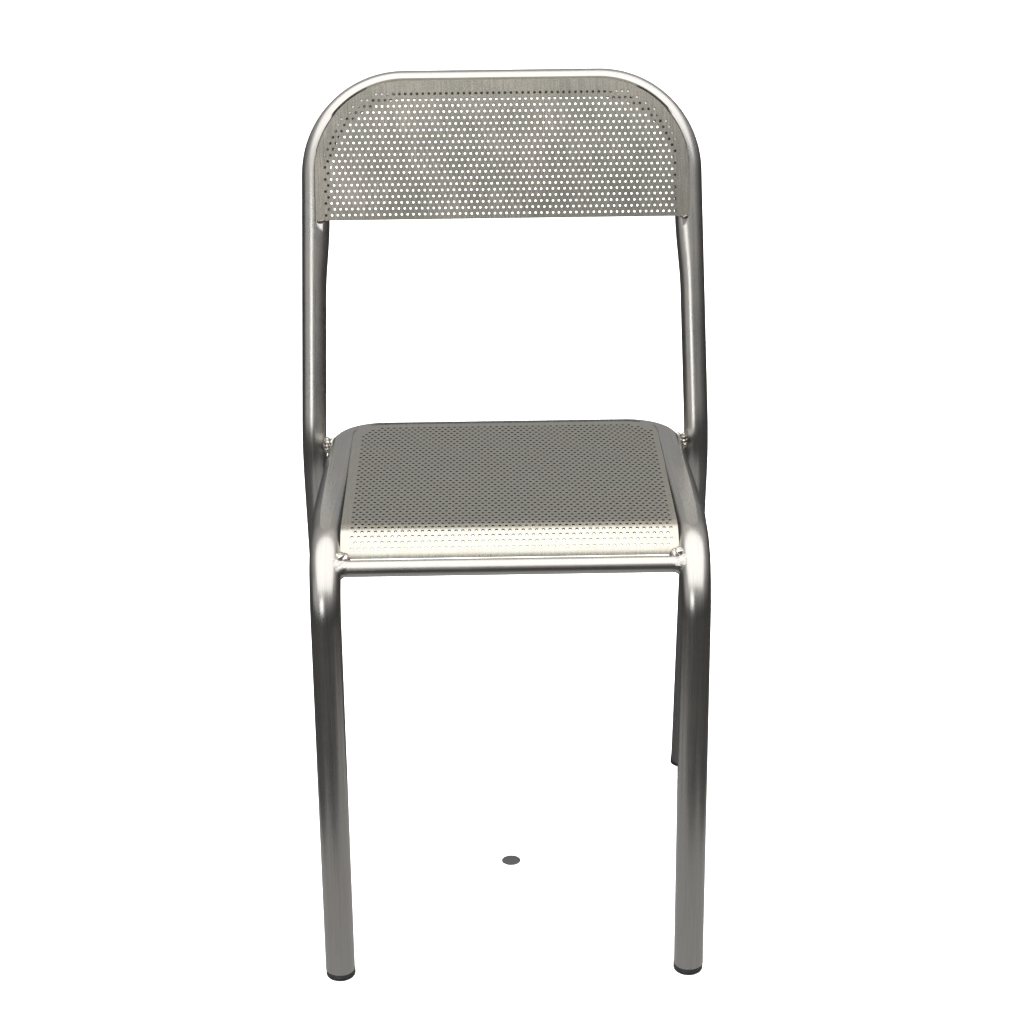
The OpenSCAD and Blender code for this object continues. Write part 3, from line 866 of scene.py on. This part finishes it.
def sheet_steel():
    """Raw perforated sheet: fine brushing along the run, a soft olive and warm mottling, and painted
    shade round each hole's rim and on its walls."""
    f = Finish("sheet_steel", Metallic=1.0, Coat_Weight=0.15, Coat_Roughness=0.2)
    flat = f.join(f.number("across"), f.number("run"), 0.0)
    brushed = f.noise(f.stretch(flat, (420.0, 16.0, 1.0)), 1.6, 3.0, 0.6)
    hair = f.noise(f.stretch(flat, (1500.0, 60.0, 1.0)), 1.2, 2.0, 0.6)
    cloud = f.noise(f.place(), 18.0, 4.0, 0.6)
    spots = f.noise(f.place(), 260.0, 2.0, 0.6)
    tint = f.blend(f.span(cloud, 0.35, 0.65), (0.425, 0.415, 0.355), (0.435, 0.402, 0.345))
    streaked = f.blend(f.span(brushed, 0.35, 0.7, 0.0, 0.45), tint, (0.52, 0.505, 0.455))
    colour = f.blend(f.span(spots, 0.62, 0.75, 0.0, 0.25), streaked, (0.26, 0.24, 0.20))
    # Painted shade: each hole's rim and walls are darkened to near black to stand for the shade inside the
    # hole.
    painted_hole_shade = f.span(f.number("at_hole"), 0.72, 0.99)
    colour = f.blend(painted_hole_shade, colour, (0.045, 0.042, 0.036))
    roughness = 0.25 + (brushed - 0.5) * 0.14 + (cloud - 0.5) * 0.18 + painted_hole_shade * 0.15
    height = brushed * 0.5 + hair * 0.4 + spots * 0.3
    return f.wear(colour, roughness, f.relief(height, 0.00010, 0.5))


def weld_metal(name, burnt, bright, relief=0.00022):
    """Lumpy weld, from burnt hollows to brighter humps."""
    f = Finish(name, Metallic=1.0)
    place = f.place()
    pits = f.noise(place, 420.0, 3.0, 0.6)
    ripples = f.node("TexVoronoi", {"feature": "SMOOTH_F1"}, output="Distance", Vector=place, Scale=420.0)
    colour = f.blend(f.span(pits, 0.36, 0.62), burnt, bright)
    roughness = f.span(pits, 0.3, 0.7, 0.42, 0.16)
    return f.wear(colour, roughness, f.relief(ripples * 0.7 + pits * 0.5, relief, 0.45))


def black_plastic():
    """Black moulded plastic with a faint grain and worn, dusty patches."""
    f = Finish("glide_plastic", Metallic=0.0)
    grain = f.noise(f.place(), 900.0, 2.0, 0.5)
    scuffs = f.noise(f.place(), 90.0, 4.0, 0.6)
    colour = f.blend(f.span(scuffs, 0.55, 0.75, 0.0, 0.6), (0.006, 0.006, 0.0065), (0.030, 0.029, 0.028))
    roughness = 0.38 + (scuffs - 0.5) * 0.25
    return f.wear(colour, roughness, f.relief(grain, 0.00008, 0.5))


def pale_floor():
    f = Finish("floor_paint", Metallic=0.0, Emission_Color=(1.0, 1.0, 1.0, 1.0), Emission_Strength=0.5)
    cloud = f.noise(f.place(), 0.8, 2.0, 0.5)
    colour = f.blend(cloud, (0.90, 0.90, 0.895), (0.915, 0.915, 0.91))
    return f.wear(colour, 0.75 + (cloud - 0.5) * 0.1)


# ---------------------------------------------------------------- floor, light and camera

def build_floor():
    """A wide round floor a hair below the glides that sweeps up into a wall: level out to one
    radius, then a quarter circle, then upright, turned about the middle."""
    level, sweep, wall = 7.0, 2.0, 5.0
    quarter = np.linspace(0, np.pi / 2, 13)[1:]
    radius = np.concatenate([np.linspace(0.01, level, 9), level + sweep * np.sin(quarter),
                             np.full(3, level + sweep)])
    height = np.concatenate([np.zeros(9), sweep * (1 - np.cos(quarter)), sweep + np.linspace(1, wall, 3)])
    turn = np.linspace(0, 2 * np.pi, 72, endpoint=False)
    x, y = radius[:, None] * np.cos(turn), radius[:, None] * np.sin(turn)
    vertices = np.stack([x, y, np.broadcast_to(height[:, None] - 0.0002, x.shape)], -1).reshape(-1, 3)
    piece = add_mesh("studio_floor", vertices, grid_quads(len(radius), 72))
    piece.data.materials.append(pale_floor())
    piece.visible_glossy = False
    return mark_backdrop(piece)


def soft_box(name, place, target, size, power, colour=(1.0, 1.0, 1.0)):
    """A rectangular soft light at place, aimed at target."""
    light = bpy.data.lights.new(name, "AREA")
    light.shape = "RECTANGLE"
    light.size, light.size_y = size
    light.energy = power
    light.color = colour
    lamp = bpy.data.objects.new(name, light)
    bpy.context.scene.collection.objects.link(lamp)
    aim = Vector(target) - Vector(place)
    lamp.location = place
    lamp.rotation_euler = aim.to_track_quat("-Z", "Y").to_euler()
    return lamp


def build_camera():
    """A long lens in front of the chair and above it, turned a little and looking down."""
    place = (-0.0233, -2.1323, 1.3215)
    down, turn, roll = math.radians(23.275), math.radians(0.749), math.radians(-0.57)
    ahead = np.array([math.sin(turn) * math.cos(down), math.cos(turn) * math.cos(down), -math.sin(down)])
    right = unit(np.cross(ahead, [0.0, 0.0, 1.0]))
    up = np.cross(right, ahead)
    rolled_right = math.cos(roll) * right + math.sin(roll) * up
    rolled_up = math.cos(roll) * up - math.sin(roll) * right
    camera = bpy.data.cameras.new("studio_camera")
    camera.sensor_width = 36.0
    camera.lens = 81.75
    camera.clip_start, camera.clip_end = 0.05, 60.0
    holder = bpy.data.objects.new("studio_camera", camera)
    bpy.context.scene.collection.objects.link(holder)
    columns = [rolled_right, rolled_up, -ahead]
    holder.matrix_world = Matrix([[c[i] for c in columns] + [place[i]] for i in range(3)] + [[0, 0, 0, 1]])
    bpy.context.scene.camera = holder


def build_room():
    """A soft grey room whose brightness goes by height only: pale below and above, darker around
    the walls."""
    world = bpy.data.worlds.new("studio_world")
    bpy.context.scene.world = world
    world.use_nodes = True
    nodes, links = world.node_tree.nodes, world.node_tree.links
    direction = nodes.new("ShaderNodeTexCoord")
    parts = nodes.new("ShaderNodeSeparateXYZ")
    ramp = nodes.new("ShaderNodeValToRGB")
    lift = nodes.new("ShaderNodeMath")
    lift.operation = "MULTIPLY_ADD"
    lift.inputs[1].default_value = 0.5
    lift.inputs[2].default_value = 0.5
    links.new(direction.outputs["Generated"], parts.inputs[0])
    links.new(parts.outputs["Z"], lift.inputs[0])
    links.new(lift.outputs[0], ramp.inputs["Fac"])
    links.new(ramp.outputs["Color"], nodes["Background"].inputs["Color"])
    levels = [(-1.0, 0.22), (-0.56, 0.14), (-0.42, 0.08), (-0.1, 0.07), (0.05, 0.17), (0.2, 0.34),
              (0.4, 0.54), (1.0, 0.60)]
    steps = ramp.color_ramp.elements
    steps[0].color = [levels[0][1]] * 3 + [1.0]
    steps[-1].color = [levels[-1][1]] * 3 + [1.0]
    for height, grey in levels[1:-1]:
        steps.new((height + 1) / 2).color = [grey] * 3 + [1.0]
    nodes["Background"].inputs["Strength"].default_value = 1.0


def build_studio():
    build_room()
    soft_box("top_light", (0.0, -0.5, 2.51), (0, 0.324, 0), (7.0, 4.42), 190)
    soft_box("strip_light", (-1.6, -3.2, 0.9), (0, 0, 0.6), (1.3, 1.1), 17)
    soft_box("left_light", (-3.0, -1.2, 0.65), (0, 0, 0.6), (2.6, 1.2), 5)
    bounce = soft_box("bounce_light", (0, -0.20, 0.002), (0, -0.199, 1.0), (0.9, 0.6), 0.6)
    bounce.visible_camera = False
    sky = bpy.data.lights.new("sky_light", "SUN")
    sky.angle = math.radians(80)
    sky.energy = 2.5
    lamp = bpy.data.objects.new("sky_light", sky)
    bpy.context.scene.collection.objects.link(lamp)
    lamp.visible_glossy = False
    bpy.context.scene.view_settings.view_transform = "Standard"


# ---------------------------------------------------------------- assembly

build_camera()
build_studio()
build_floor()

finishes = {"tube_steel": tube_steel(), "sheet_steel": sheet_steel(), "glide": black_plastic(),
            "weld_bead": weld_metal("weld_bead", (0.24, 0.20, 0.165), (0.72, 0.70, 0.66)),
            "dressed_weld": weld_metal("dressed_weld", (0.34, 0.325, 0.30), (0.44, 0.43, 0.405), 0.00005),
            "dull_weld": weld_metal("dull_weld", (0.07, 0.06, 0.05), (0.22, 0.205, 0.185))}


def fit(piece, node, slot, finish=None):
    """Gives a piece its finish, by default its slot's, and lets it stand for a node of the frame."""
    piece.data.materials.append(finishes[finish or slot])
    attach(piece, "root")
    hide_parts(node)


fit(build_seat_frame(), "seat_frame", "tube_steel")
fit(build_back_frame(), "back_frame", "tube_steel")
fit(build_rail(), "front_rail", "tube_steel")
fit(build_seat_panel(), "seat_panel", "sheet_steel")
fit(build_back_panel(), "back_panel", "sheet_steel")
for hand, side in (("left", -1), ("right", 1)):
    fit(build_spacer(side), "spacer_" + hand, "tube_steel")
    fit(build_rail_weld(side), "rail_weld_" + hand, "weld_bead", "dressed_weld")
    fit(build_spacer_weld(side), "spacer_weld_" + hand, "weld_bead")
    fit(build_seat_corner_weld(side), "seat_corner_weld_" + hand, "weld_bead")
    fit(build_back_corner_weld(side), "back_corner_weld_" + hand, "weld_bead", "dull_weld")
    front_foot = feet["foot_front_" + hand]
    rear_foot = feet["foot_rear_" + hand]
    front_top = [side * LEG_TOP_X, FRONT_Y, SEAT_H - LEG_R + PRESS_FRONT]
    rear_top = [side * JOINT[0], JOINT[1], JOINT[2]]
    fit(build_glide("glide_cap_front_" + hand, LEG_R, front_foot, front_top),
        "glide_front_" + hand, "glide")
    fit(build_glide("glide_cap_rear_" + hand, BACK_R, rear_foot, rear_top),
        "glide_rear_" + hand, "glide")
